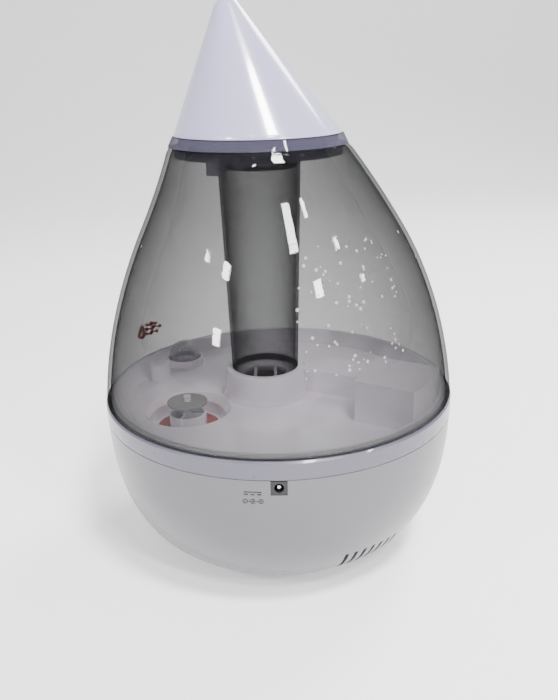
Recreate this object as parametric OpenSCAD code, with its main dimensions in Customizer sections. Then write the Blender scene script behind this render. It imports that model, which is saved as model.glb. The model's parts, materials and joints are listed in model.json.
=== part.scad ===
// Cool mist humidifier: a white bowl base with the works inside, a clear drop-shaped tank that lifts off
// it, and a white slanted mist cone on a clear lid ring. +Z is up, the origin is the centre of the plane
// that the feet stand on, and -Y is the rear, with the power socket. The control knob is at +Y.

/* [Body] */
// Largest radius, at the rim where the tank meets the base
body_r = 120; // [119:0.5:121]
// Height of the joint line between the bowl and the deck
seam_z = 100; // [99.5:0.5:100.5]
// Height of the deck's rim, which the tank stands on
rim_z = 112; // [111.5:0.5:112.5]
// Wall of the bowl, the deck and the tank
wall = 2.5; // [2.3:0.1:2.6]
// Height of the basin's floor
basin_z = 84; // [83.5:0.5:84.5]
// Gap between pieces that only rest on each other
gap = 0.3; // [0.3:0.05:0.4]

/* [Tank] */
// Radius of the bend in the tank's side
tank_bend_r = 285; // [283:1:287]
// Lean of the tank's side at its foot, in degrees
lean_foot = 4.5; // [4.3:0.1:4.7]
// Lean of the tank's side above the bend, in degrees
lean_top = 28.8; // [28.6:0.1:29]
// Outer radius of the tank's mouth
mouth_r = 57.8; // [57.6:0.1:58]
// Height of the tank
tank_h = 165; // [164:0.5:166]
// How fast the tank's drift towards the mouth comes on with height
drift_power = 4.4; // [4:0.2:5]
// Depth of the tank's floor below the rim
floor_drop = 6; // [5.5:0.5:6.5]

/* [Mist path] */
// How far the mouth, the mist tube and the lid stand to the side of the bowl's axis
mist_x = -8.8; // [-9:0.1:-8.6]
// Outer radius of the clear mist tube at its foot
tube_r = 22.9; // [22.7:0.1:23.1]
// Outer radius of the mist tube at its top
tube_top_r = 26.9; // [26.7:0.1:27]
// Height of the chimney boss above the tank's floor
boss_h = 20; // [19:0.5:21]
// Radius of the cone's foot
cone_r = 53.8; // [53.6:0.1:54]
// Height of the cone
cone_h = 80.8; // [79:0.5:82]
// Sideways lean of the cone's tip
tip_shift = 16.3; // [15.5:0.1:17]
// Radius of the rounded tip
tip_r = 8.9; // [8.5:0.1:9.3]
// Radius of the mist outlet
outlet_r = 5.5; // [5:0.5:6]

/* [Floor features] */
// Radius of the valve's cup
cup_r = 12.6; // [12.4:0.1:12.8]
// Height of the duct's cover block above the rim
block_h = 21.8; // [21:0.2:22.4]
// Height of the duct's low cover above the rim
channel_h = 10.3; // [10:0.1:10.6]
// Turn of the air duct about the vertical, in degrees
duct_turn = -31.8; // [-32:0.1:-31.6]

/* [Works] */
// Width of the square fan frame
fan_w = 40; // [39:0.5:40]
// Number of fan blades
blades = 7; // [5:1:9]
// Radius of the control knob
knob_r = 16.5; // [16:0.5:17]
// Height of the control knob's axis
knob_z = 60; // [59:0.5:61]
// Number of vent slots
vent_slots = 7; // [5:1:8]

/* [Hidden] */
$fn = 96;

// Heights
tank_z = rim_z + gap;
floor_z = rim_z - floor_drop;
mouth_z = tank_z + tank_h;
flange_z = mouth_z + gap;
cone_z = flange_z + 5.9;
boss_z = floor_z + boss_h;
block_z = rim_z + block_h;
channel_z = rim_z + channel_h;
basin_under = basin_z - wall;
tube_top = mouth_z - 11.2;

// Places on the plan, as [x, y]
mist_at = [mist_x, 0];
valve_at = [-62, -27.5];
dome_at = [-72.4, 59.6];
post_at = [-87.2, 27.3];
float_at = [30, 62];
// The fan's place is in the duct's own frame, which is turned by duct_turn
fan_at = [87, -3];
button_turn = 65;
screw_circle = 54;
screw_turns = [20, 110, 200, 290];
foot_circle = 46;
foot_turns = [65, 155, 245, 335];

// Side of the bowl, as tangent bends: [radius, first lean, last lean]
bowl_bends = [[230, 1, 8], [125, 8, 19], [98, 19, 31], [53.9, 31, 90]];
bowl_start = [body_r - 0.2, seam_z];

// Points along one bend that starts at p. rise is 1 going up and -1 going down.
function bend(p, b, rise) = let (steps = ceil((b[2] - b[1]) / 3.5))
    [for (i = [1:steps]) let (a = b[1] + (b[2] - b[1]) * i / steps)
        [p[0] + b[0] * (cos(a) - cos(b[1])), p[1] + rise * b[0] * (sin(a) - sin(b[1]))]];

// Points along a chain of bends, set in from the outside by inset
function side(p, bends, rise, inset, i = 0) = i == len(bends) ? [] :
    let (b = [bends[i][0] - inset, bends[i][1], bends[i][2]], run = bend(p, b, rise))
    concat(run, side(run[len(run) - 1], bends, rise, inset, i + 1));

// A side's first point, set in from the outside by inset
function set_in(p, lean, rise, inset) = [p[0] - inset * cos(lean), p[1] - rise * inset * sin(lean)];

// Corners of a convex plan, anticlockwise, moved in from its edges by d
function inset_plan(p, d) = let (n = len(p)) [for (i = [0:n - 1])
    let (e = unit(p[i] - p[(i + n - 1) % n]), f = unit(p[(i + 1) % n] - p[i]),
         a = [-e[1], e[0]], b = [-f[1], f[0]])
        p[i] + (a + b) * d / (1 + a * b)];

// A place in the duct's own frame, as a point of the whole
function from_duct(u, v, z) =
    [u * cos(duct_turn) - v * sin(duct_turn), u * sin(duct_turn) + v * cos(duct_turn), z];

// Unit vector, and the direction in which a path passes its point i
function unit(v) = v / norm(v);
function heading(p, i) = let (n = len(p) - 1)
    i <= 0 ? unit(p[1] - p[0]) : i >= n ? unit(p[n] - p[n - 1]) : unit(p[i + 1] - p[i - 1]);

// ---- shared shapes ----

module at(p, z = 0) translate([p[0], p[1], z]) children();

module on_duct() rotate([0, 0, duct_turn]) children();

module facing_front(y, z) translate([0, y, z]) rotate([-90, 0, 0]) children();

module around(turns, r) for (t = turns) rotate([0, 0, t]) translate([r, 0, 0]) children();

module tube(r_out, r_in, h) difference() {
    cylinder(r = r_out, h = h);
    translate([0, 0, -1]) cylinder(r = r_in, h = h + 2);
}

// A box from its low corner to its high corner
module span(low, high) translate(low) cube(high - low);

// A round tube swept along a list of points. across is a direction that the path never runs along.
module sweep(path, r, across, sides = 8) {
    rings = [for (i = [0:len(path) - 1])
        let (t = heading(path, i), s = unit(cross(t, across)), u = cross(s, t))
        for (k = [0:sides - 1]) path[i] + r * (cos(360 * k / sides) * s + sin(360 * k / sides) * u)];
    last = (len(path) - 1) * sides;
    faces = concat(
        [[for (k = [0:sides - 1]) k]],
        [for (i = [0:len(path) - 2], k = [0:sides - 1]) let (a = i * sides, n = (k + 1) % sides)
            [a + k, a + sides + k, a + sides + n, a + n]],
        [[for (k = [sides - 1:-1:0]) last + k]]);
    polyhedron(rings, faces, convexity = 8);
}

// Points on a smooth curve through hand-placed corners (Catmull-Rom), n to a stretch
function smooth(c, n) = let (m = len(c) - 1)
    concat([for (i = [0:m - 1], j = [0:n - 1])
        let (t = j / n, a = c[max(i - 1, 0)], b = c[i], d = c[i + 1], e = c[min(i + 2, m)])
        (2 * b + (d - a) * t + (2 * a - 5 * b + 4 * d - e) * t * t
            + (3 * b - a - 3 * d + e) * t * t * t) / 2],
        [c[m]]);

module screw(head_r, head_h, shank_r, length) {
    difference() {
        translate([0, 0, -head_h]) cylinder(r = head_r, h = head_h);
        translate([0, 0, -head_h - 1]) cylinder(r = head_r * 0.5, h = 1 + head_h * 0.5, $fn = 6);
    }
    cylinder(r = shank_r, h = length);
}

// ---- base ----

// Filled form of the bowl, set in by inset, with its top at top_z
module bowl_form(inset, top_z) {
    first = set_in(bowl_start, bowl_bends[0][1], -1, inset);
    run = side(first, bowl_bends, -1, inset);
    rotate_extrude(convexity = 4)
        polygon(concat([[0, top_z], [first[0], top_z], first], run, [[0, run[len(run) - 1][1]]]));
}

knob_dish_r = knob_r + 1.5;
knob_dish_y = 105.5;
post_top = 60;
post_web = 50;
board_top = 18;
board_at = [[-33, -24], [33, -24], [-33, 24], [33, 24]];

module button_frame() rotate([0, 0, button_turn]) translate([0, 0, knob_z]) rotate([0, 90, 0]) children();

module bowl_inner_works() {
    around(screw_turns, screw_circle) cylinder(r = 5.5, h = post_top);
    for (p = board_at) at(p) cylinder(r = 3, h = board_top);
    facing_front(knob_dish_y - wall, knob_z) cylinder(r = knob_dish_r + 2, h = 20);
    rotate([0, 0, button_turn]) span([99.2, -11, knob_z - 9], [118, -8.2, knob_z + 9]);
    rotate([0, 0, button_turn]) span([99.2, 8.2, knob_z - 9], [118, 11, knob_z + 9]);
}

module base_bowl() color([0.86, 0.86, 0.88]) difference() {
    union() {
        difference() {
            bowl_form(0, seam_z);
            bowl_form(wall, seam_z + 1);
        }
        intersection() {
            bowl_form(1, seam_z);
            bowl_inner_works();
        }
    }
    // Counterbores and shank holes for the case screws
    around(screw_turns, screw_circle) cylinder(r = 4.2, h = post_web);
    around(screw_turns, screw_circle) cylinder(r = 1.9, h = post_top + 1);
    for (p = board_at) at(p, board_top - 8) cylinder(r = 1.2, h = 10);
    // Dish for the knob, and the hole for the potentiometer's bush
    facing_front(knob_dish_y, knob_z) cylinder(r = knob_dish_r, h = 30);
    facing_front(90, knob_z) cylinder(r = 3.5, h = 30);
    // Hole for the night light's button
    button_frame() cylinder(r = 6.2, h = 140);
    // Notch for the power socket
    translate([jack_x, 0, 0])
        span([-jack_w / 2 - 0.2, -body_r - 1, jack_z - 0.2], [jack_w / 2 + 0.2, -100, seam_z + 1]);
    // Air vents low on the rear right, near the fan
    for (i = [0:vent_slots - 1]) rotate([0, 0, -67.4 + 3.65 * i]) span([60, -1.4, 17.5], [125, 1.4, 34.5]);
}

jack_x = -1.1;
jack_w = 9.4;
jack_z = 90.5;
jack_h = 8.8;
jack_front = -119;
jack_back = -105;

well_z = 78;
well_r = 17;
duct_w = 21;
duct_d = 22;
fan_top = 77;

// Basin profile: outer band, rim, sloping wall and floor, with a skirt that locates in the bowl
module deck_form() rotate_extrude(convexity = 6) polygon([
    [117, 94], [117, seam_z], [body_r - 0.6, seam_z], [body_r - 0.1, seam_z + 0.7],
    [body_r, rim_z - 1.2], [body_r - 1, rim_z], [116.3, rim_z], [115.8, rim_z - 0.6],
    [115.8, 108], [110, seam_z], [110, basin_z], [0, basin_z], [0, basin_under],
    [110 + wall, basin_under], [110 + wall, 98.8], [114.6, 101.8], [114.6, 94]
]);

module base_deck() color([0.87, 0.87, 0.9]) difference() {
    union() {
        deck_form();
        // Well that holds the transducer under the mist tube
        at(mist_at, well_z - wall) cylinder(r = well_r + 2, h = basin_z - well_z + 1);
        at(dome_at, basin_under - 1) cylinder(r = 9, h = 2);
        // Air tower that rises inside the duct's cover block
        on_duct() at(fan_at) span([-duct_w / 2 - 2.2, -duct_d / 2 - 2.2, fan_top + gap],
            [duct_w / 2 + 2.2, duct_d / 2 + 2.2, block_z - 8]);
        // Pins for the valve, the tank's post and the float
        at(valve_at, basin_z - 1) cylinder(r = 3, h = 6);
        at(post_at, basin_z - 1) cylinder(r = 4.5, h = 29);
        at(float_at, basin_z - 1) cylinder(r = 3.8, h = 15);
        // Bosses that the case screws and the fan screws cut into
        around(screw_turns, screw_circle) translate([0, 0, post_top + gap]) cylinder(r = 5, h = 22);
        on_duct() at(fan_at) fan_corners() translate([0, 0, fan_top]) cylinder(r = 3.4, h = 6);
        // Dry pocket behind the power socket
        translate([jack_x, 0, 0]) span([-9.5, -112, basin_under], [9.5, -99.5, 102.3]);
    }
    at(mist_at, well_z) cylinder(r = well_r, h = 10);
    at(mist_at) cylinder(r = 9, h = basin_z);
    at(mist_at, well_z - wall - 1) around(clamp_turns, 15) cylinder(r = 1.2, h = 3);
    on_duct() at(fan_at)
        span([-duct_w / 2, -duct_d / 2, fan_top - 1], [duct_w / 2, duct_d / 2, block_z]);
    around(screw_turns, screw_circle) translate([0, 0, post_top]) cylinder(r = 1.6, h = 17);
    on_duct() at(fan_at) fan_corners() translate([0, 0, fan_top - 1]) cylinder(r = 1.4, h = 6);
    at(dome_at, basin_under - 1) cylinder(r = 4, h = 5);
    translate([jack_x, 0, 0]) span([-7, -122, basin_under - 1], [7, -102, 99.8]);
}

module rubber_feet() color("dimgray")
    around(foot_turns, foot_circle) cylinder(r = 8, h = bowl_bottom);

bowl_run = side(bowl_start, bowl_bends, -1, 0);
bowl_bottom = bowl_run[len(bowl_run) - 1][1];

module case_screws() color("silver")
    around(screw_turns, screw_circle) translate([0, 0, post_web]) screw(3.6, 2.4, 1.6, 26);

// ---- power and electronics ----

module dc_jack() color("black") translate([jack_x, 0, 0]) difference() {
    span([-jack_w / 2, jack_front, jack_z], [jack_w / 2, jack_back, jack_z + jack_h]);
    facing_front(jack_front - 1, jack_z + jack_h / 2) cylinder(r = 2.9, h = 10);
}

module jack_pin() color("silver") translate([jack_x, 0, 0])
    facing_front(jack_front + 1.5, jack_z + jack_h / 2) cylinder(r = 1.05, h = 7.5);

module driver_board() color("green") difference() {
    span([-38, -28, board_top], [38, 28, board_top + 1.6]);
    for (p = board_at) at(p, board_top - 1) cylinder(r = 1.4, h = 4);
}

board_z = board_top + 1.6;

module heat_sink() color("silver") at([-16.5, 12.5], board_z) {
    span([-10, -8, 0], [10, 8, 3]);
    for (x = [-10:4.5:8]) span([x, -8, 0], [x + 1.6, 8, 18]);
}

module board_parts() color([0.15, 0.15, 0.17]) {
    at([10, 12], board_z) cylinder(r = 5, h = 16);
    at([24, 12], board_z) cylinder(r = 4, h = 12);
    at([24, 0], board_z) cylinder(r = 4, h = 12);
    at([8, -4], board_z) cylinder(r = 7, h = 9);
    at([-20, -12], board_z) span([-5, -4, 0], [5, 4, 2]);
    at([0, -22], board_z) span([-6, -3, 0], [6, 3, 7]);
    at([24, -18], board_z) span([-6, -3, 0], [6, 3, 7]);
    at([0, 22], board_z) span([-6, -3, 0], [6, 3, 7]);
    at([-30, 0], board_z) span([-3, -6, 0], [3, 6, 7]);
}

module board_screws() color("silver")
    for (p = board_at) at(p, board_z) rotate([180, 0, 0]) screw(2.4, 1.6, 1.2, 8);

// ---- mist maker ----

disc_z = 73.4;
clamp_turns = [30, 150, 270];

module transducer_disc() color("gold") at(mist_at, disc_z) cylinder(r = 10, h = 1.2);

module transducer_gasket() color("dimgray") at(mist_at) difference() {
    translate([0, 0, disc_z - 1]) cylinder(r = 12, h = well_z - wall - disc_z + 1);
    translate([0, 0, disc_z]) cylinder(r = 10, h = 1.2);
    translate([0, 0, disc_z - 2]) cylinder(r = 8, h = 8);
}

module transducer_clamp() color("silver") at(mist_at) difference() {
    translate([0, 0, disc_z - 3]) cylinder(r = 18, h = well_z - wall - disc_z + 3);
    translate([0, 0, disc_z - 1]) cylinder(r = 12, h = 8);
    translate([0, 0, disc_z - 4]) cylinder(r = 8, h = 8);
    around(clamp_turns, 15) translate([0, 0, disc_z - 4]) cylinder(r = 1.2, h = 10);
}

module transducer_screws() color("silver")
    at(mist_at, disc_z - 3) around(clamp_turns, 15) screw(2.4, 1.6, 1.2, 6.8);

// ---- fan ----

fan_h = 20;

module fan_corners() for (x = [-16, 16], y = [-16, 16]) translate([x, y, 0]) children();

module in_fan() on_duct() at(fan_at, fan_top - fan_h) children();

module fan_housing() color([0.12, 0.12, 0.13]) in_fan() {
    difference() {
        span([-fan_w / 2, -fan_w / 2, 0], [fan_w / 2, fan_w / 2, fan_h]);
        translate([0, 0, -1]) cylinder(r = 18.6, h = fan_h + 2);
        fan_corners() translate([0, 0, -1]) cylinder(r = 1.7, h = fan_h + 2);
    }
    for (t = [45, 135, 225, 315]) rotate([0, 0, t]) span([9, -1.2, 0], [19.2, 1.2, 2]);
    difference() {
        cylinder(r = 9.5, h = 2);
        translate([0, 0, 1]) cylinder(r = 1.5, h = 2);
    }
    translate([0, 0, 1.5]) tube(4, 1.5, 6);
}

module fan_rotor() color([0.2, 0.2, 0.22]) in_fan() {
    difference() {
        translate([0, 0, 3]) cylinder(r = 10, h = 15);
        translate([0, 0, 2]) cylinder(r = 8.6, h = 13);
    }
    translate([0, 0, 1.3]) cylinder(r = 1.45, h = 15);
    for (i = [0:blades - 1]) rotate([0, 0, 360 * i / blades])
        translate([9, 0, 10.5]) rotate([35, 0, 0]) span([0, -0.6, -7.5], [8.4, 0.6, 7.5]);
}

module fan_screws() color("silver") in_fan() fan_corners() screw(3, 1.6, 1.4, 24.5);

// ---- controls ----

module potentiometer() color("silver") facing_front(92, knob_z) difference() {
    union() {
        cylinder(r = 8.5, h = 11);
        translate([0, 0, 10.5]) cylinder(r = 3.5, h = 5.8);
    }
    translate([0, 0, 6]) cylinder(r = 3.05, h = 20);
}

module pot_nut() color("silver") facing_front(knob_dish_y, knob_z) difference() {
    cylinder(r = 5.8, h = 2, $fn = 6);
    translate([0, 0, -1]) cylinder(r = 3.5, h = 4);
}

module pot_shaft() color("silver") facing_front(99, knob_z) cylinder(r = 3, h = 17);

module control_knob() color([0.87, 0.87, 0.9]) facing_front(knob_dish_y + 0.5, knob_z) difference() {
    rotate_extrude() polygon([
        [0, 0], [knob_r - 0.6, 0], [knob_r, 0.6], [knob_r - 0.8, 9.5], [knob_r - 3, 12.6], [0, 13]]);
    translate([0, 0, -1]) difference() {
        cylinder(r = knob_r - 2.5, h = 9);
        translate([0, 0, 4]) cylinder(r = 5, h = 10);
    }
    translate([0, 0, 2]) cylinder(r = 3, h = 8);
    span([-0.8, -knob_r - 1, 11], [0.8, -knob_r + 9, 14]);
}

module light_button() color([0.87, 0.87, 0.9]) button_frame() {
    translate([0, 0, 107]) cylinder(r = 5.8, h = 10.2);
    translate([0, 0, 108]) cylinder(r = 7.6, h = 1.5);
}

module light_switch() color("green") {
    rotate([0, 0, button_turn]) span([99.2, -8.2, knob_z - 9], [100.8, 8.2, knob_z + 9]);
    rotate([0, 0, button_turn]) span([100.8, -3, knob_z - 3], [103.3, 3, knob_z + 3]);
    button_frame() translate([0, 0, 103]) cylinder(r = 1.8, h = 2.2);
}

module led_board() color("green") at(dome_at, basin_under - 2.6) difference() {
    cylinder(r = 9, h = 1.6);
    translate([0, 0, -1]) cylinder(r = 0.6, h = 4);
}

module night_light_led() color([0.95, 0.95, 0.8]) at(dome_at, basin_under - 1) {
    cylinder(r = 2.5, h = 12);
    translate([0, 0, 12]) sphere(r = 2.5, $fn = 32);
}

module led_cover() color([0.9, 0.95, 1, 0.5]) at(dome_at, basin_z) difference() {
    union() {
        cylinder(r = 7.5, h = 1.5);
        cylinder(r = 5.6, h = 15);
    }
    translate([0, 0, -1]) cylinder(r = 4, h = 14.5);
}

// ---- leads inside the base ----

jack_route = [[jack_x, -108, jack_z], [jack_x, -108, 84], [jack_x, -107, 74], [0, -100, 55], [0, -78, 33],
    [0, -45, 24], [0, -25, 24]];
transducer_route = [[mist_x + 3, 0, disc_z], [mist_x + 3, 0, 64], [-3, 10, 48], [3, 30, 38], [1, 36, 28],
    [0, 25, 24]];
fan_side = fan_at[0] - fan_w / 2;
fan_route = [from_duct(fan_side, fan_at[1], 62), from_duct(fan_side - 6, fan_at[1], 60), [43, -30, 46],
    [39, -24, 32], [36, -18, 25], [30, -18, 24]];
knob_route = [[0, 92, 60], [0, 86, 59], [-3, 72, 47], [-3, 56, 38], [-10, 42, 33], [-28, 31, 29],
    [-42, 16, 26], [-40, 4, 24], [-33, 3, 24]];
led_route = [[dome_at[0], dome_at[1], 78.9], [dome_at[0], dome_at[1] - 1, 70], [-67, 44, 52], [-57, 18, 34],
    [-45, -3, 25], [-33, -3, 24]];
lead_r = 1.1;

module lead(route, across) color([0.1, 0.1, 0.12]) sweep(smooth(route, 4), lead_r, across);
module jack_lead() lead(jack_route, [1, 0, 0]);
module transducer_lead() lead(transducer_route, [1, 0, 0]);
module fan_lead() lead(fan_route, [0, 1, 0]);
module knob_lead() lead(knob_route, [0, 0, 1]);
module led_lead() lead(led_route, [0, 1, 0]);

// ---- float ----

module float_clip() color("white") at(float_at, 98) difference() {
    union() {
        cylinder(r = 3.8, h = 2);
        cylinder(r = 6, h = 1);
    }
    translate([0, 0, -1]) cylinder(r = 1, h = 1.5);
}

module water_float() color([0.9, 0.9, 0.85]) at(float_at, basin_z + gap) difference() {
    cylinder(r = 13, h = 9);
    translate([0, 0, -1]) cylinder(r = 4.2, h = 11);
    translate([8.6, 0, 2]) cylinder(r = 2.5, h = 8);
}

module float_magnet() color("gray")
    at(float_at, basin_z + gap) translate([8.6, 0, 2]) cylinder(r = 2.5, h = 3);

// ---- tank ----

// Rows of the tank's side, from the foot to the mouth: [outer radius, height, lean]
bend_rows = [for (i = [0:10]) let (a = lean_foot + (lean_top - lean_foot) * i / 10)
    [body_r - 0.6 + tank_bend_r * (cos(a) - cos(lean_foot)),
     tank_z + tank_bend_r * (sin(a) - sin(lean_foot)), a]];
bend_end = bend_rows[10];
straight_rows = [for (i = [1:4])
    [bend_end[0] + (mouth_r - bend_end[0]) * i / 4, bend_end[1] + (mouth_z - bend_end[1]) * i / 4, lean_top]];
tank_rows = concat(bend_rows, straight_rows);
tank_sides = 60;

// How far the tank's middle has drifted to the side at a height
function drift(z) = mist_x * pow((z - tank_z) / tank_h, drift_power);

function tank_ring(row, inset) = let (r = row[0] - inset / cos(row[2]))
    [for (k = [0:tank_sides - 1]) let (a = 360 * k / tank_sides)
        [drift(row[1]) + r * cos(a), r * sin(a), row[1]]];

// The drop is not round about one axis: its middle drifts to the side as it rises
module tank_shell() color([0.75, 0.77, 0.8, 0.4]) {
    last = len(tank_rows) - 1;
    rings = concat([for (row = tank_rows) tank_ring(row, 0)],
        [for (i = [last:-1:0]) tank_ring(tank_rows[i], wall)]);
    n = len(rings);
    polyhedron([for (ring = rings) each ring], [for (i = [0:n - 1], k = [0:tank_sides - 1])
        let (a = i * tank_sides, b = ((i + 1) % n) * tank_sides, m = (k + 1) % tank_sides)
            [a + k, b + k, b + m, a + m]], convexity = 6);
}

floor_r = 104;
recess_r = 29.6;
well_in_r = 25.5;
lip_r = 22.6;
lip_z = 90;
chamber_r = 27;
// Plans of the duct's two covers, in the duct's own frame
block_plan = [[69.8, -20.2], [115, -20.2], [115, 27.5], [64.2, 26.5]];
channel_plan = [[10.65, 8.3], [72, 12.7], [72, 26], [64, 41.5], [27.6, 38]];
duct_end_r = 111.8;

// Floor pan: a flat floor with a sloping edge that reaches the shell
module floor_pan() rotate_extrude(convexity = 4) polygon([
    [0, floor_z - wall], [floor_r + 2.5, floor_z - wall], [112.6, rim_z - 0.8], [114.3, rim_z + 0.5],
    [114.3, rim_z + 3], [112.4, rim_z + 3], [111.2, rim_z + 0.8], [floor_r, floor_z], [0, floor_z]
]);

// Filled form of one cover, set in by inset
module cover_form(plan, inset, low_z, top_z) translate([0, 0, low_z])
    linear_extrude(height = top_z - inset - low_z) polygon(inset_plan(plan, inset));

// Filled form of the duct's covers, set in by inset to make the hollow below them
module duct_form(inset, low_z) intersection() {
    on_duct() {
        cover_form(block_plan, inset, low_z, block_z);
        cover_form(channel_plan, inset, low_z, channel_z);
        // Way through from the block's hollow to the channel's
        if (inset > 0) span([60, 16, low_z], [76, 23.5, channel_z - inset]);
    }
    translate([0, 0, low_z - 1]) cylinder(r = duct_end_r - inset, h = 60);
}

// Chimney boss under the mist tube
module boss_form() rotate_extrude() polygon([
    [0, floor_z - 1], [30, floor_z - 1], [30, floor_z + 0.5], [28.6, floor_z + 5],
    [27.6, boss_z - 1], [27, boss_z], [0, boss_z]
]);

guard_z = boss_z - 8;
guard_r = 18.6;
seat_r = tube_r + 0.15;

// Mist chamber, chimney bore with its ledge for the guard, and the seat for the mist tube
module mist_way() rotate_extrude() polygon([
    [0, 90], [chamber_r, 90], [chamber_r, floor_z], [22.5, guard_z - 5], [17, guard_z - 2.5], [17, guard_z],
    [guard_r, guard_z], [guard_r, boss_z - 4], [seat_r, boss_z - 4], [seat_r, boss_z + 1], [0, boss_z + 1]
]);

module tank_floor() color([0.87, 0.87, 0.92]) difference() {
    union() {
        floor_pan();
        duct_form(0, floor_z - 1);
        at(mist_at) boss_form();
        // Skirt that closes the mist chamber against the water in the basin
        at(mist_at, 94) cylinder(r = chamber_r + 2, h = floor_z - 95);
        // Valve well with its recess and lip, the dome's collar and the hollow post
        at(valve_at, lip_z) cylinder(r = well_in_r + 2.2, h = floor_z - lip_z - 1);
        at(valve_at, floor_z - 8) cylinder(r1 = well_in_r + 2.2, r2 = recess_r + 1.8, h = 7.5);
        at(dome_at, floor_z - 1) cylinder(r = 14, h = 7);
        at(post_at, floor_z - 1) cylinder(r = 7.3, h = 14);
    }
    at(mist_at) mist_way();
    duct_form(wall, floor_z - wall - 1);
    // Way through the boss, from the duct to the mist chamber
    at(mist_at) rotate([0, 0, 3.2]) span([20, -2.2, floor_z - wall - 1], [36, 2.2, channel_z - 4]);
    // Valve recess, well and the hole in its lip, with the bayonet's notches
    at(valve_at, floor_z - 5) cylinder(r1 = well_in_r, r2 = recess_r, h = 5.01);
    at(valve_at, lip_z + 2) cylinder(r = well_in_r, h = 30);
    at(valve_at, lip_z - 1) cylinder(r = lip_r, h = 30);
    at(valve_at, lip_z - 1) rotate([0, 0, cap_turn]) span([-lug_r - 0.3, -5, 0], [lug_r + 0.3, 5, 4]);
    at(dome_at, floor_z - wall - 1) cylinder(r = 9.5, h = 20);
    at(dome_at, floor_z + 2.5) cylinder(r = 12.5, h = 20);
    at(post_at, floor_z - wall - 1) cylinder(r = 5.5, h = 14.5);
}
cap_turn = 60;
lug_r = 24.9;

module floor_seal() color([0.8, 0.8, 0.82]) translate([0, 0, rim_z + 0.6]) tube(116.4, 114.3, 2);

tube_wall = 1.8;
tube_h = tube_top - boss_z + 4;

module mist_tube() color([0.7, 0.72, 0.75, 0.4]) at(mist_at, boss_z - 4) difference() {
    cylinder(r1 = tube_r, r2 = tube_top_r, h = tube_h);
    cylinder(r1 = tube_r - tube_wall, r2 = tube_top_r - tube_wall, h = tube_h);
}

module mist_guard() color([0.87, 0.87, 0.92]) at(mist_at, guard_z) {
    tube(guard_r, 14.8, 2.5);
    for (x = [-7, 7]) span([x - 1.1, -14.5, 0], [x + 1.1, 14.5, 2.5]);
}

module light_dome() color([0.9, 0.92, 1, 0.4]) at(dome_at, floor_z + 3.5) difference() {
    union() {
        cylinder(r = 12.4, h = 1.5);
        translate([0, 0, 4]) sphere(r = 11.6);
    }
    translate([0, 0, 4]) sphere(r = 10.2);
    translate([0, 0, -20]) cylinder(r = 13, h = 20);
}

module dome_seal() color([0.8, 0.8, 0.82]) at(dome_at, floor_z + 2.5) tube(12.4, 10, 1);

// ---- valve ----

cup_z = lip_z + 13;
bush_z = cup_z - 6;
stem_z = basin_z + 5 + gap;
disc_top = rim_z - 0.2;

module valve_cap() color([0.9, 0.9, 0.93]) at(valve_at) difference() {
    union() {
        difference() {
            union() {
                translate([0, 0, lip_z - 3]) cylinder(r = 24.5, h = 3 - gap);
                translate([0, 0, lip_z - 2]) cylinder(r = lip_r - 0.4, h = 4);
                translate([0, 0, lip_z]) cylinder(r = cup_r, h = cup_z - lip_z);
                translate([0, 0, lip_z + 1.5]) tube(lip_r - 0.4, gasket_r, 2.5);
                // Bayonet lugs
                intersection() {
                    translate([0, 0, lip_z + 2 + gap]) tube(lug_r, gasket_r + 0.4, 2 - gap);
                    span([-30, -4, lip_z], [30, 4, lip_z + 5]);
                }
            }
            translate([0, 0, lip_z - 4]) cylinder(r = cup_r - 1.5, h = 20);
        }
        translate([0, 0, bush_z]) cylinder(r = 3.4, h = 5);
        for (t = [0, 120, 240]) rotate([0, 0, t]) span([2.6, -0.8, bush_z], [cup_r - 1, 0.8, bush_z + 5]);
    }
    translate([0, 0, bush_z - 1]) cylinder(r = 2.05, h = 8);
}

gasket_r = 21;
module cap_gasket() color("red") at(valve_at, lip_z + 2) tube(gasket_r, cup_r, 2.2);

module valve_stem() color([0.92, 0.92, 0.95]) at(valve_at) {
    translate([0, 0, stem_z]) cylinder(r = 1.95, h = disc_top - stem_z + 1);
    translate([0, 0, stem_z]) cylinder(r = 4, h = 1.2);
    translate([0, 0, disc_top]) cylinder(r = 2.5, h = 3.6);
}

module valve_disc() color([0.7, 0.7, 0.7]) at(valve_at, disc_top - 1.8) tube(13.6, 1.95, 1.8);

spring_turns = 5;
module valve_spring() color("silver") {
    low = stem_z + 1.2 + 0.4;
    high = bush_z - 0.4;
    steps = spring_turns * 16;
    path = [for (i = [0:steps]) let (a = 360 * spring_turns * i / steps)
        [valve_at[0] + 2.9 * cos(a), valve_at[1] + 2.9 * sin(a), low + (high - low) * i / steps]];
    sweep(path, 0.35, [0, 0, 1], 6);
}

// ---- lid ----

plug_z = mouth_z - 6.4;
plug_r = 54;
spigot_r = tube_top_r - tube_wall - 0.5;
flange_in = 51;

module lid_ring() color([0.55, 0.55, 0.65, 0.6]) at(mist_at) {
    rotate_extrude(convexity = 6) polygon([
        [spigot_r - 1.8, plug_z - 8], [spigot_r, plug_z - 8], [spigot_r, plug_z], [plug_r, plug_z],
        [plug_r, flange_z], [mouth_r - 0.2, flange_z], [cone_r + 0.8, cone_z], [flange_in, cone_z],
        [flange_in, plug_z + 2], [spigot_r - 1.8, plug_z + 2]
    ]);
    rotate([0, 0, -118]) span([plug_r - 3, -6, plug_z - 7.5], [plug_r - 0.3, 6, plug_z + 0.5]);
    rotate([0, 0, -101.5]) span([plug_r - 3, -2.6, plug_z - 4], [plug_r - 0.3, 2.6, plug_z + 0.5]);
}

cone_wall = 2.2;
tip_z = cone_z + cone_h - tip_r;

// Filled form of the slanted cone, set in by inset
module cone_form(inset, reach) hull() {
    translate([0, 0, cone_z + gap - reach]) cylinder(r = cone_r - inset, h = 0.6 + reach, $fn = 90);
    translate([-tip_shift, 0, tip_z]) sphere(r = tip_r - inset, $fn = 40);
}

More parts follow.
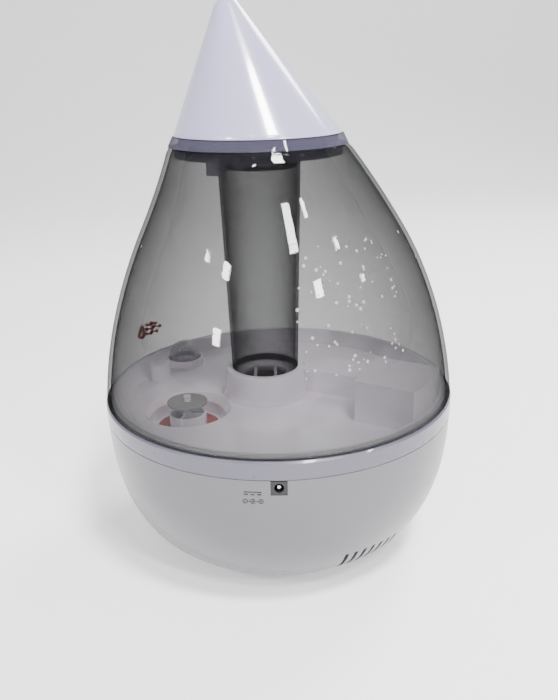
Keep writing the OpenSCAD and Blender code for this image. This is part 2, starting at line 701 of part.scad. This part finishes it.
module mist_cone() color([0.9, 0.9, 0.95]) at(mist_at) difference() {
    union() {
        difference() {
            cone_form(0, 0);
            cone_form(cone_wall, 2);
        }
        translate([0, 0, cone_z + gap]) difference() {
            cylinder(r1 = cone_r - 1, r2 = cone_r - 2.6, h = 2);
            translate([0, 0, -1]) cylinder(r = flange_in - 2.6, h = 4);
        }
        translate([0, 0, cone_z - 5]) tube(flange_in - 0.4, flange_in - 2.6, 6);
    }
    translate([-tip_shift, 0, tip_z]) cylinder(r = outlet_r, h = 20);
}

base_bowl();
base_deck();
rubber_feet();
case_screws();
dc_jack();
jack_pin();
driver_board();
heat_sink();
board_parts();
board_screws();
transducer_disc();
transducer_gasket();
transducer_clamp();
transducer_screws();
fan_housing();
fan_screws();
potentiometer();
pot_nut();
light_switch();
led_board();
night_light_led();
led_cover();
float_clip();
jack_lead();
transducer_lead();
fan_lead();
knob_lead();
led_lead();
fan_rotor();
pot_shaft();
control_knob();
light_button();
water_float();
float_magnet();
tank_shell();
tank_floor();
floor_seal();
mist_tube();
mist_guard();
light_dome();
dome_seal();
valve_cap();
cap_gasket();
valve_stem();
valve_disc();
valve_spring();
lid_ring();
mist_cone();
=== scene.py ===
"""Visual model of a cool mist humidifier: white bowl, clear leaning drop tank, clear lid ring, white cone."""
import json
import math
import random

import bpy
from mathutils import Matrix, Vector


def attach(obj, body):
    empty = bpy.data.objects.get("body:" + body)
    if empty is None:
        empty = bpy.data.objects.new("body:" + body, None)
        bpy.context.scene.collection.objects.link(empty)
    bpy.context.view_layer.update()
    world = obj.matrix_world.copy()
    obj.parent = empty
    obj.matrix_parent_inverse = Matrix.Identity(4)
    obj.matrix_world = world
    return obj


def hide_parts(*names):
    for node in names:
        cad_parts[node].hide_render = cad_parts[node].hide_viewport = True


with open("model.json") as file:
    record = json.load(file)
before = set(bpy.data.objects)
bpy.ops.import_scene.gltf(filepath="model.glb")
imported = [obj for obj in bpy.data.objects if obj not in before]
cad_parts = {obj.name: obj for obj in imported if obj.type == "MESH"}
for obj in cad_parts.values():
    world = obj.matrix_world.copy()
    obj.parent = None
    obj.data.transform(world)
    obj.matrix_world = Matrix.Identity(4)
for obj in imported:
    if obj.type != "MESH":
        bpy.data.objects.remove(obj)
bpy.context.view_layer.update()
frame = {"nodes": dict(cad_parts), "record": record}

MM = 0.001
TAU = 2 * math.pi

# ---- sizes repeated from the CAD source, in millimetres ----
BODY_R = 120.0
TANK_Z = 112.3
TANK_H = 165.0
MOUTH_R = 57.8
TANK_BEND_R = 285.0
LEAN_FOOT, LEAN_TOP = math.radians(4.5), math.radians(28.8)
DRIFT_POWER = 4.4
MIST_X = -8.8
WALL = 2.5
MOUTH_Z = TANK_Z + TANK_H
CONE_Z = MOUTH_Z + 0.3 + 5.9
CONE_R, CONE_H, CONE_WALL = 53.8, 80.8, 2.2
TIP_SHIFT, TIP_R, OUTLET_R = 16.3, 8.9, 5.5
TIP_Z = CONE_Z + CONE_H - TIP_R
SPIGOT_IN, SPIGOT_OUT = 48.4, 50.6
KNOB_Z = 60.0
DOME_X, DOME_Y, DOME_Z, DOME_R = -72.4, 59.6, 113.5, 10.1
SIDES = 144


# ---- mesh helpers ----

def add_mesh(name, points, faces, body, smooth_angle=40.0):
    """A mesh object from points in millimetres, smooth up to smooth_angle, riding on a body."""
    mesh = bpy.data.meshes.new(name)
    mesh.from_pydata([(x * MM, y * MM, z * MM) for x, y, z in points], [], faces)
    mesh.validate()
    mesh.shade_smooth()
    mesh.set_sharp_from_angle(angle=math.radians(smooth_angle))
    obj = bpy.data.objects.new(name, mesh)
    bpy.context.scene.collection.objects.link(obj)
    if body:
        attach(obj, body)
    return obj


def loop_faces(rows, count):
    """Quads between rows of count points each, where the last row joins the first."""
    faces = []
    for i in range(rows):
        a, b = i * count, ((i + 1) % rows) * count
        for k in range(count):
            m = (k + 1) % count
            faces.append((a + k, a + m, b + m, b + k))
    return faces


def ring(cx, r, z):
    """A level circle of points round (cx, 0, z)."""
    return [(cx + r * math.cos(TAU * k / SIDES), r * math.sin(TAU * k / SIDES), z) for k in range(SIDES)]


# ---- materials ----

def node_material(name):
    """A new material, its node tree, its shader and its object coordinates."""
    mat = bpy.data.materials.new(name)
    mat.use_nodes = True
    nodes, links = mat.node_tree.nodes, mat.node_tree.links
    shader = nodes["Principled BSDF"]
    coords = nodes.new("ShaderNodeTexCoord")
    return mat, nodes, links, shader, coords


def noise(nodes, links, coords, scale, detail=3.0):
    """Cloudy noise that sits on the object."""
    tex = nodes.new("ShaderNodeTexNoise")
    tex.inputs["Scale"].default_value = scale
    tex.inputs["Detail"].default_value = detail
    links.new(coords.outputs["Object"], tex.inputs["Vector"])
    return tex


def spread(nodes, links, source, low, high):
    """Maps a 0.3 to 0.7 noise to low and high."""
    span = nodes.new("ShaderNodeMapRange")
    span.inputs["From Min"].default_value = 0.3
    span.inputs["From Max"].default_value = 0.7
    span.inputs["To Min"].default_value = low
    span.inputs["To Max"].default_value = high
    links.new(source, span.inputs["Value"])
    return span.outputs["Result"]


def tone(nodes, links, shader, source, dark, light):
    """Colour from dark to light along a noise."""
    ramp = nodes.new("ShaderNodeValToRGB")
    ramp.color_ramp.elements[0].position = 0.3
    ramp.color_ramp.elements[1].position = 0.7
    ramp.color_ramp.elements[0].color = (*dark, 1)
    ramp.color_ramp.elements[1].color = (*light, 1)
    links.new(source, ramp.inputs["Fac"])
    links.new(ramp.outputs["Color"], shader.inputs["Base Color"])


def rough_and_bump(nodes, links, shader, coords, rough, bump, grain):
    """Roughness clouds, and a fine moulded grain."""
    clouds = noise(nodes, links, coords, 60.0)
    cloudy = spread(nodes, links, clouds.outputs["Fac"], rough * 0.96, rough * 1.04)
    links.new(cloudy, shader.inputs["Roughness"])
    fine = noise(nodes, links, coords, grain, 4.0)
    relief = nodes.new("ShaderNodeBump")
    relief.inputs["Strength"].default_value = bump
    relief.inputs["Distance"].default_value = 0.0002
    links.new(fine.outputs["Fac"], relief.inputs["Height"])
    links.new(relief.outputs["Normal"], shader.inputs["Normal"])


def solid(name, colour, rough, bump=0.05, grain=900.0, shift=0.04, coat=0.0):
    """Moulded plastic, rubber or foam with slight clouds of tone."""
    mat, nodes, links, shader, coords = node_material(name)
    shader.inputs["Coat Weight"].default_value = coat
    shader.inputs["Coat Roughness"].default_value = 0.06
    cloud = noise(nodes, links, coords, 14.0, 2.0)
    dark = [c * (1 - shift) for c in colour]
    light = [min(1.0, c * (1 + shift)) for c in colour]
    tone(nodes, links, shader, cloud.outputs["Fac"], dark, light)
    rough_and_bump(nodes, links, shader, coords, rough, bump, grain)
    return mat


def clear(name, colour, face_alpha, edge_alpha, rough=0.05, bump=0.03, blend=0.35, gloss=1.0):
    """Clear moulded plastic: thin when seen face on, denser towards its edges, with faint flow marks."""
    mat, nodes, links, shader, coords = node_material(name)
    cloud = noise(nodes, links, coords, 9.0, 2.0)
    tone(nodes, links, shader, cloud.outputs["Fac"], [c * 0.9 for c in colour], colour)
    rough_and_bump(nodes, links, shader, coords, rough, bump, 40.0)
    shader.inputs["Specular IOR Level"].default_value = 0.0
    shader.inputs["Coat Roughness"].default_value = 0.015
    shader.inputs["Coat IOR"].default_value = 1.7
    weight = nodes.new("ShaderNodeLayerWeight")
    weight.inputs["Blend"].default_value = blend
    span = nodes.new("ShaderNodeMapRange")
    span.inputs["From Max"].default_value = 0.8
    span.inputs["To Min"].default_value = face_alpha
    span.inputs["To Max"].default_value = edge_alpha
    links.new(weight.outputs["Facing"], span.inputs["Value"])
    links.new(span.outputs["Result"], shader.inputs["Alpha"])
    sheen = nodes.new("ShaderNodeMapRange")
    sheen.inputs["From Max"].default_value = 0.6
    sheen.inputs["To Min"].default_value = gloss
    sheen.inputs["To Max"].default_value = 0.0
    links.new(weight.outputs["Facing"], sheen.inputs["Value"])
    links.new(sheen.outputs["Result"], shader.inputs["Coat Weight"])
    return mat


def brushed(name, colour, rough):
    """Drawn or turned metal, with fine streaks along Z."""
    mat, nodes, links, shader, coords = node_material(name)
    shader.inputs["Metallic"].default_value = 1.0
    stretch = nodes.new("ShaderNodeMapping")
    stretch.inputs["Scale"].default_value = (900.0, 900.0, 40.0)
    links.new(coords.outputs["Object"], stretch.inputs["Vector"])
    streaks = nodes.new("ShaderNodeTexNoise")
    streaks.inputs["Scale"].default_value = 1.0
    links.new(stretch.outputs["Vector"], streaks.inputs["Vector"])
    tone(nodes, links, shader, streaks.outputs["Fac"], [c * 0.85 for c in colour], colour)
    streaky = spread(nodes, links, streaks.outputs["Fac"], rough * 0.8, rough * 1.3)
    links.new(streaky, shader.inputs["Roughness"])
    return mat


MATERIALS = {
    "bowl_white": solid("bowl_white", (0.13, 0.125, 0.137), 0.34, coat=0.25, shift=0.02),
    "deck_white": solid("deck_white", (0.11, 0.104, 0.137), 0.28, coat=0.3, shift=0.02),
    "foot_rubber": solid("foot_rubber", (0.05, 0.05, 0.055), 0.8, bump=0.3),
    "steel": brushed("steel", (0.62, 0.62, 0.64), 0.3),
    "jack_black": solid("jack_black", (0.012, 0.012, 0.013), 0.4, bump=0.15),
    "board_green": solid("board_green", (0.02, 0.13, 0.06), 0.35, coat=0.4, shift=0.15),
    "sink_alloy": brushed("sink_alloy", (0.6, 0.61, 0.63), 0.38),
    "parts_black": solid("parts_black", (0.02, 0.02, 0.022), 0.45, bump=0.2),
    "disc_brass": brushed("disc_brass", (0.7, 0.5, 0.2), 0.28),
    "gasket_grey": solid("gasket_grey", (0.08, 0.08, 0.085), 0.7, bump=0.2),
    "lead_black": solid("lead_black", (0.015, 0.015, 0.017), 0.5, bump=0.2),
    "led_lens": solid("led_lens", (0.85, 0.82, 0.62), 0.15, coat=1.0),
    # Near-opaque white for the drops and bubbles: a painted glint, since clear water shows white only where
    # it catches light
    "bead_painted_glint": clear("bead_painted_glint", (1.0, 1.0, 1.0), 0.85, 1.0),
    "cover_clear": clear("cover_clear", (0.8, 0.8, 0.85), 0.16, 0.6, blend=0.4),
    "float_foam": solid("float_foam", (0.78, 0.76, 0.7), 0.8, bump=0.5, grain=1500.0),
    "knob_white": solid("knob_white", (0.135, 0.13, 0.148), 0.32, coat=0.25, shift=0.02),
    "tank_clear": clear("tank_clear", (0.004, 0.004, 0.004), 0.31, 0.68, rough=0.3, bump=0.0, blend=0.3,
                        gloss=0.8),
    "tube_clear": clear("tube_clear", (0.012, 0.012, 0.014), 0.2, 0.7, rough=0.02, bump=0.01, gloss=0.6),
    "ring_clear": clear("ring_clear", (0.075, 0.07, 0.105), 0.6, 0.8, blend=0.3, gloss=0.5),
    # floor_white is set far lighter than bowl_white and knob_white: a lit copy of the white plastic, painted
    # light that makes up for the light the tinted tank walls take away
    "floor_white": solid("floor_white", (0.97, 0.91, 1.0), 0.14, coat=0.8, shift=0.02),
    "seal_silicone": solid("seal_silicone", (0.5, 0.5, 0.53), 0.55, bump=0.1),
    "gasket_red": solid("gasket_red", (0.32, 0.0, 0.002), 0.45, bump=0.1),
    "mark_red": solid("mark_red", (0.42, 0.035, 0.01), 0.4, bump=0.03),
    "valve_white": solid("valve_white", (0.88, 0.86, 0.94), 0.25, coat=0.4, shift=0.02),
    "disc_grey": solid("disc_grey", (0.3, 0.3, 0.29), 0.5, bump=0.15),
    "cone_white": solid("cone_white", (0.4, 0.375, 0.55), 0.2, bump=0.02, coat=0.7, shift=0.015),
}
for part in frame["record"]["subparts"]:
    for material_slot in frame["nodes"][part["node"]].material_slots:
        material_slot.material = MATERIALS[part["material_slot"]]

# Rounded edges on the moulded nodes that stay, in millimetres
ROUNDED = {"base_bowl": 0.6, "base_deck": 0.7, "tank_floor": 1.3, "lid_ring": 0.6, "valve_cap": 0.5,
           "control_knob": 0.8, "light_button": 0.7, "mist_guard": 0.4, "valve_disc": 0.5, "dc_jack": 0.25,
           "light_dome": 0.4, "valve_stem": 0.4, "driver_board": 0.2, "fan_housing": 0.5, "heat_sink": 0.2}
for name, width in ROUNDED.items():
    node = frame["nodes"][name]
    weld = node.modifiers.new("weld", "WELD")
    weld.merge_threshold = 0.00002
    bevel = node.modifiers.new("edges", "BEVEL")
    bevel.width = width * MM
    bevel.segments = 3
    bevel.limit_method = "ANGLE"
    bevel.angle_limit = math.radians(35)
    bevel.use_clamp_overlap = True
    normals = node.modifiers.new("normals", "WEIGHTED_NORMAL")
    normals.weight = 80


# ---- tank shell ----

def drift(z):
    """How far the tank's middle has moved to the side at a height."""
    return MIST_X * max(0.0, (z - TANK_Z) / TANK_H) ** DRIFT_POWER


def side_rows(bend_steps=24, cone_steps=14):
    """Outer side of the tank from foot to mouth: (radius, height, lean)."""
    rows = []
    for i in range(bend_steps + 1):
        a = LEAN_FOOT + (LEAN_TOP - LEAN_FOOT) * i / bend_steps
        r = BODY_R - 0.6 + TANK_BEND_R * (math.cos(a) - math.cos(LEAN_FOOT))
        rows.append((r, TANK_Z + TANK_BEND_R * (math.sin(a) - math.sin(LEAN_FOOT)), a))
    r0, z0, a0 = rows[-1]
    for i in range(1, cone_steps + 1):
        t = i / cone_steps
        rows.append((r0 + (MOUTH_R - r0) * t, z0 + (MOUTH_Z - z0) * t, a0))
    return rows


def lip(r_in, r_out, z, up, steps=5):
    """Half round from the outer wall to the inner, at the mouth (up = 1) or back at the foot (up = -1)."""
    mid, half = (r_in + r_out) / 2, (r_out - r_in) / 2
    points = []
    for i in range(1, steps + 1):
        a = math.pi * i / (steps + 1)
        reach = up * half * math.cos(a)
        points.append((mid + reach, z + up * (half * math.sin(a) - half) * 0.999))
    return points


def tank_profile():
    """The wall's closed outline, round the mouth and the foot: (radius, height)."""
    rows = side_rows()
    outer = [(r, z) for r, z, _ in rows]
    inner = [(r - WALL / math.cos(a), z) for r, z, a in rows]
    half = WALL / 2
    outer = [(r, min(max(z, TANK_Z + half), MOUTH_Z - half)) for r, z in outer]
    inner = [(r, min(max(z, TANK_Z + half), MOUTH_Z - half)) for r, z in inner]
    top = lip(inner[-1][0], outer[-1][0], MOUTH_Z, 1)
    foot = lip(inner[0][0], outer[0][0], TANK_Z, -1)
    return outer + top + inner[::-1] + foot


profile = tank_profile()
shell_points = [p for r, z in profile for p in ring(drift(z), r, z)]
shell = add_mesh("clear_tank", shell_points, loop_faces(len(profile), SIDES), "tank", 60)
shell.data.materials.append(MATERIALS["tank_clear"])
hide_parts("tank_shell")


# ---- mist cone ----

def cone_rows(inset):
    """Rows of the slanted cone's side, tangent to the rounded tip, from the foot to the outlet's edge."""
    foot_r, tip_r = CONE_R - inset, TIP_R - inset
    mid = Vector((MIST_X, 0, CONE_Z + 0.9))
    tip = Vector((MIST_X - TIP_SHIFT, 0, TIP_Z))
    edge = math.asin(OUTLET_R / tip_r)
    line, cap = 30, 10
    columns = []
    for k in range(SIDES):
        out = Vector((math.cos(TAU * k / SIDES), math.sin(TAU * k / SIDES), 0))
        foot = mid + out * foot_r
        a, b = out.dot(tip - foot), tip.z - foot.z
        beta = math.atan2(b, a) - math.acos(-tip_r / math.hypot(a, b))
        normal = out * math.cos(beta) + Vector((0, 0, math.sin(beta)))
        touch = tip + normal * tip_r
        column = [foot + Vector((0, 0, -0.6))]
        column += [foot.lerp(touch, i / line) for i in range(line + 1)]
        rim = out * math.sin(edge) + Vector((0, 0, math.cos(edge)))
        for i in range(1, cap + 1):
            column.append(tip + normal.slerp(rim, i / cap) * tip_r)
        columns.append(column)
    return [[tuple(column[i]) for column in columns] for i in range(len(columns[0]))]


def rounded_foot(rows, by):
    """Pulls the first row in, so the foot's edge is rounded."""
    first = [(MIST_X + (x - MIST_X) * (1 - by / CONE_R), y * (1 - by / CONE_R), z) for x, y, z in rows[0]]
    return [first] + [[(x, y, z + 0.35) for x, y, z in rows[0]]] + rows[1:]


outer_rows = rounded_foot(cone_rows(0), 0.5)
inner_rows = cone_rows(CONE_WALL)
foot_ring = [ring(MIST_X, SPIGOT_IN, CONE_Z + 0.3), ring(MIST_X, SPIGOT_IN, CONE_Z - 5),
             ring(MIST_X, SPIGOT_OUT, CONE_Z - 5), ring(MIST_X, SPIGOT_OUT, CONE_Z + 0.3)]
shelf = [ring(MIST_X, CONE_R - 3, CONE_Z + 2.3), ring(MIST_X, SPIGOT_IN, CONE_Z + 2.3)]
cone_loops = foot_ring + outer_rows + inner_rows[::-1][:-2] + shelf
cone_points = [p for loop in cone_loops for p in loop]
cone = add_mesh("mist_cap", cone_points, loop_faces(len(cone_loops), SIDES), "mist_cone", 35)
cone.data.materials.append(MATERIALS["cone_white"])
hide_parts("mist_cone")


# ---- small pieces ----

def inner_wall(azimuth, z, inset=WALL):
    """A point on the tank's inner wall, and the direction that points into the tank there."""
    rows = side_rows()
    for (r0, z0, a0), (r1, z1, a1) in zip(rows, rows[1:]):
        if z0 <= z <= z1:
            t = (z - z0) / (z1 - z0)
            r, lean = r0 + (r1 - r0) * t, a0 + (a1 - a0) * t
            break
    out = Vector((math.cos(azimuth), math.sin(azimuth), 0))
    point = Vector((drift(z), 0, z)) + out * (r - inset / math.cos(lean))
    return point, -(out * math.cos(lean) + Vector((0, 0, math.sin(lean))))


def bead(points, faces, centre, normal, r, height, around=12, rings=4):
    """Adds a low droplet on a surface."""
    start = len(points)
    side = normal.cross(Vector((0, 0, 1))).normalized()
    up = side.cross(normal).normalized()
    for i in range(rings):
        a = math.pi / 2 * i / rings
        for k in range(around):
            t = TAU * k / around
            flat = side * (r * math.cos(a) * math.cos(t)) + up * (r * math.cos(a) * math.sin(t))
            points.append(tuple(centre + flat + normal * (height * math.sin(a) - 0.05)))
    points.append(tuple(centre + normal * height))
    for i in range(rings - 1):
        for k in range(around):
            m = (k + 1) % around
            a, b = start + i * around, start + (i + 1) * around
            faces.append((a + k, b + k, b + m, a + m))
    last = start + (rings - 1) * around
    for k in range(around):
        faces.append((last + k, len(points) - 1, last + (k + 1) % around))
    faces.append(tuple(start + k for k in range(around)))


# Drops of water on the inner wall, most of them on one side; they are coloured near-opaque white, a painted
# glint in place of the light they catch
rng = random.Random(7)
drop_points, drop_faces = [], []
for _ in range(90):
    azimuth = math.radians(rng.uniform(-84, -40) if rng.random() < 0.75 else rng.uniform(-180, 180))
    spot, inward = inner_wall(azimuth, rng.uniform(158, 228))
    size = rng.uniform(0.4, 1.1)
    bead(drop_points, drop_faces, spot, inward, size, size * 0.45)
drops = add_mesh("tank_droplets", drop_points, drop_faces, "tank", 80)
drops.data.materials.append(MATERIALS["bead_painted_glint"])

# Bubbles under the dome, coloured near-opaque white as a painted glint
bubble_points, bubble_faces = [], []
for _ in range(14):
    turn, reach = rng.uniform(0, TAU), rng.uniform(2, 8)
    height = math.sqrt(DOME_R ** 2 - reach ** 2)
    direction = Vector((reach * math.cos(turn), reach * math.sin(turn), height)).normalized()
    spot = Vector((DOME_X, DOME_Y, DOME_Z)) + direction * (DOME_R + 0.05)
    size = rng.uniform(0.35, 0.9)
    bead(bubble_points, bubble_faces, spot, -direction, size, size * 0.6)
bubbles = add_mesh("dome_bubbles", bubble_points, bubble_faces, "tank", 80)
bubbles.data.materials.append(MATERIALS["bead_painted_glint"])


# ---- raised and printed signs: generic symbols only ----

BOWL_BENDS = ((230.0, 1, 8), (125.0, 8, 19), (98.0, 19, 31), (53.9, 31, 90))


def bowl_rows():
    """The bowl's outer side: (radius, height, lean below the horizontal)."""
    r, z = BODY_R - 0.2, 100.0
    rows = [(r, z, math.radians(1))]
    for bend, first, last in BOWL_BENDS:
        for i in range(1, 13):
            a = math.radians(first + (last - first) * i / 12)
            a0 = math.radians(first)
            rows.append((r + bend * (math.cos(a) - math.cos(a0)), z - bend * (math.sin(a) - math.sin(a0)), a))
        r, z = rows[-1][0], rows[-1][1]
    return rows


BOWL_ROWS = bowl_rows()


def on_bowl_rear(x, z):
    """A point on the bowl's rear, and the way out of the surface."""
    for (r0, z0, a0), (r1, z1, a1) in zip(BOWL_ROWS, BOWL_ROWS[1:]):
        if z1 <= z <= z0:
            t = (z0 - z) / (z0 - z1)
            r, lean = r0 + (r1 - r0) * t, a0 + (a1 - a0) * t
            break
    out = Vector((x, -math.sqrt(r * r - x * x), 0))
    normal = out.normalized() * math.cos(lean) - Vector((0, 0, math.sin(lean)))
    return out + Vector((0, 0, z)), normal


def on_tank(along, z):
    """A point on the tank's outer wall, along from the mark's place, and the way out of the surface."""
    azimuth = MARK_TURN - along / MARK_R
    point, inward = inner_wall(azimuth, z, 0)
    return point, -inward


def on_front(x, z):
    """A point on the bowl's front, and the way out of the surface."""
    point, normal = on_bowl_rear(-x, z)
    return Vector((-point.x, -point.y, point.z)), Vector((-normal.x, -normal.y, normal.z))


def stroke(points, faces, line, width, place, sink, lift=0.12):
    """Adds a raised line along flat corners, laid on a surface by place."""
    start = len(points)
    for i, (u, v) in enumerate(line):
        before, after = line[max(i - 1, 0)], line[min(i + 1, len(line) - 1)]
        du, dv = after[0] - before[0], after[1] - before[1]
        size = math.hypot(du, dv)
        nu, nv = -dv / size * width / 2, du / size * width / 2
        for side in (1, -1):
            point, normal = place(u + nu * side, v + nv * side)
            points.append(tuple(point + normal * lift))
            points.append(tuple(point - normal * sink))
    for i in range(len(line) - 1):
        a, b = start + i * 4, start + i * 4 + 4
        faces += [(a, a + 2, b + 2, b), (a + 1, b + 1, b + 3, a + 3), (a, b, b + 1, a + 1),
                  (a + 2, a + 3, b + 3, b + 2)]
    end = start + (len(line) - 1) * 4
    faces += [(start, start + 1, start + 3, start + 2), (end, end + 2, end + 3, end + 1)]


def arc(u, v, r, first, last, steps=20):
    """Corners along an arc, from first to last in degrees."""
    return [(u + r * math.cos(math.radians(first + (last - first) * i / steps)),
             v + r * math.sin(math.radians(first + (last - first) * i / steps))) for i in range(steps + 1)]


def sign(name, lines, place, body, material, sink=0.1):
    """A sign made of raised lines: each is (corners, width)."""
    points, faces = [], []
    for line, width in lines:
        stroke(points, faces, line, width, place, sink)
    obj = add_mesh(name, points, faces, body, 30)
    obj.data.materials.append(MATERIALS[material])


# Direct current, and the socket's polarity, beside the power socket
power_lines = [([(-21.6, 92.4), (-11.4, 92.4)], 0.55)]
power_lines += [([(-21.6 + 3.9 * i, 90.8), (-19.2 + 3.9 * i, 90.8)], 0.55) for i in range(3)]
power_lines += [(arc(u, 86.2, 1.35, 0, 358), 0.38) for u in (-21.0, -11.8)]
power_lines += [(arc(-16.4, 86.2, 1.5, 40, 320), 0.4), (arc(-16.4, 86.2, 0.35, 0, 358, 10), 0.6)]
power_lines += [([(-19.6, 86.2), (-17.9, 86.2)], 0.35), ([(-16.4, 86.2), (-13.2, 86.2)], 0.35)]
power_lines += [([(-21.7, 86.2), (-20.3, 86.2)], 0.3), ([(-12.5, 86.2), (-11.1, 86.2)], 0.3)]
power_lines += [([(-11.8, 85.5), (-11.8, 86.9)], 0.3)]
sign("power_signs", power_lines, on_bowl_rear, "base", "jack_black")

# A drop with three waves of mist, low on the tank's left
MARK_TURN, MARK_R = math.radians(149), 117.0
drop_line = arc(-9, 133.4, 3.2, -215, 35, 24)
mark = [([(-9, 140.6)] + drop_line[::-1] + [(-9, 140.6)], 0.6)]
for row, reach in ((131.5, 14), (135.2, 17), (138.9, 12)):
    mark.append(([(-3.5 + reach * i / 24, row + 1.1 * math.sin(TAU * i / 12)) for i in range(25)], 0.6))
sign("tank_mark", mark, on_tank, "tank", "mark_red", WALL + 0.2)

# Mist scale round the knob: dots that grow clockwise
SCALE_R = 23.5
dots = []
for i in range(11):
    turn = math.radians(-135 + 27 * i)
    u, v = SCALE_R * math.sin(turn), KNOB_Z + SCALE_R * math.cos(turn)
    dots.append((arc(u, v, 0.25 + 0.05 * i, 0, 358, 10), 0.5 + 0.06 * i))
sign("mist_scale", dots, on_front, "base", "jack_black")


# ---- stage, light and camera ----

floor_material = solid("studio_floor", (0.94, 0.94, 0.94), 0.7, bump=0.02, shift=0.005)
# A floor that curves up behind into a wall, in millimetres
SWEEP_Y, SWEEP_R, SWEEP_STEPS = 1500, 1200, 18
sweep_line = [(-15000, 0), (SWEEP_Y, 0)]
for i in range(1, SWEEP_STEPS + 1):
    a = math.pi / 2 * i / SWEEP_STEPS
    sweep_line.append((SWEEP_Y + SWEEP_R * math.sin(a), SWEEP_R - SWEEP_R * math.cos(a)))
sweep_line.append((SWEEP_Y + SWEEP_R, 6000))
sweep_points = [(x, y, z) for y, z in sweep_line for x in (-9000, 9000)]
sweep_faces = [(2 * i, 2 * i + 1, 2 * i + 3, 2 * i + 2) for i in range(len(sweep_line) - 1)]
floor = add_mesh("studio_floor", sweep_points, sweep_faces, None, 60)
floor_shader = floor_material.node_tree.nodes["Principled BSDF"]
floor_shader.inputs["Emission Color"].default_value = (1.0, 1.0, 1.0, 1)
floor_shader.inputs["Emission Strength"].default_value = 0.4
floor.data.materials.append(floor_material)

world = bpy.data.worlds.new("studio")
bpy.context.scene.world = world
world.use_nodes = True
# A pale dome, brightest overhead and on the left
sky = world.node_tree
bearing = sky.nodes.new("ShaderNodeTexCoord")
axes = sky.nodes.new("ShaderNodeSeparateXYZ")
fade = sky.nodes.new("ShaderNodeMapRange")
fade.inputs["From Min"].default_value = 0.12
fade.inputs["From Max"].default_value = 0.55
fade.inputs["To Min"].default_value = 0.34
fade.inputs["To Max"].default_value = 0.36
sky.links.new(bearing.outputs["Generated"], axes.inputs["Vector"])
sky.links.new(axes.outputs["Z"], fade.inputs["Value"])
side = sky.nodes.new("ShaderNodeMapRange")
side.inputs["From Min"].default_value = -0.6
side.inputs["From Max"].default_value = 0.6
side.inputs["To Min"].default_value = 1.3
side.inputs["To Max"].default_value = 0.55
both = sky.nodes.new("ShaderNodeMath")
both.operation = "MULTIPLY"
sky.links.new(axes.outputs["X"], side.inputs["Value"])
sky.links.new(fade.outputs["Result"], both.inputs[0])
sky.links.new(side.outputs["Result"], both.inputs[1])
sky.links.new(both.outputs["Value"], sky.nodes["Background"].inputs["Strength"])
sky.nodes["Background"].inputs["Color"].default_value = (0.95, 0.96, 1.0, 1)


def area_light(name, at, to, size, power):
    """A square lamp that faces a point."""
    data = bpy.data.lights.new(name, "AREA")
    data.energy = power
    data.size = size
    lamp = bpy.data.objects.new(name, data)
    lamp.location = at
    lamp.rotation_euler = (Vector(to) - Vector(at)).to_track_quat("-Z", "Y").to_euler()
    bpy.context.scene.collection.objects.link(lamp)


area_light("key", (0.42, -0.7, 1.7), (0, 0, 0.15), 0.28, 46.0)
area_light("back", (0.7, 0.9, 1.3), (0, 0, 0.15), 0.6, 26.0)
# Small ceiling lamps, which show as bright spots in the gloss: (place, size, power)
LAMPS = [
    ((-1.1, -1.3, 1.3), 0.17, 12.0), ((-1.3, -1.5, 0.7), 0.17, 12.0), ((0.5, -1.3, 1.6), 0.2, 14.4),
    ((0.9, -1.3, 1.1), 0.17, 12.0), ((0.9, -1.0, 1.6), 0.08, 2.88), ((1.4, -0.7, 1.4), 0.08, 2.88),
    ((-1.5, -0.9, 1.3), 0.08, 2.88), ((-0.2, -1.2, 1.7), 0.08, 2.88), ((1.7, -0.5, 1.0), 0.07, 2.4),
]
for at, size, power in LAMPS:
    area_light("lamp", at, (0, 0, 0.2), size, power)

CAMERA_AT = (0.0, -0.5162, 0.3229)
LENS = 40.284
YAW, PITCH, ROLL = math.radians(0.097), math.radians(19.562), math.radians(-1.459)
ahead = Vector((math.sin(YAW) * math.cos(PITCH), math.cos(YAW) * math.cos(PITCH), -math.sin(PITCH)))
right = Vector((math.cos(YAW), -math.sin(YAW), 0))
upward = right.cross(ahead)
cam_x = math.cos(ROLL) * right + math.sin(ROLL) * upward
cam_y = -math.sin(ROLL) * right + math.cos(ROLL) * upward
camera_data = bpy.data.cameras.new("camera")
camera_data.lens = LENS
camera_data.shift_x = 0.0006
camera_data.shift_y = -0.0056
camera_data.clip_start = 0.01
camera = bpy.data.objects.new("camera", camera_data)
camera.matrix_world = Matrix.Translation(CAMERA_AT) @ Matrix((cam_x, cam_y, -ahead)).transposed().to_4x4()
bpy.context.scene.collection.objects.link(camera)
bpy.context.scene.camera = camera
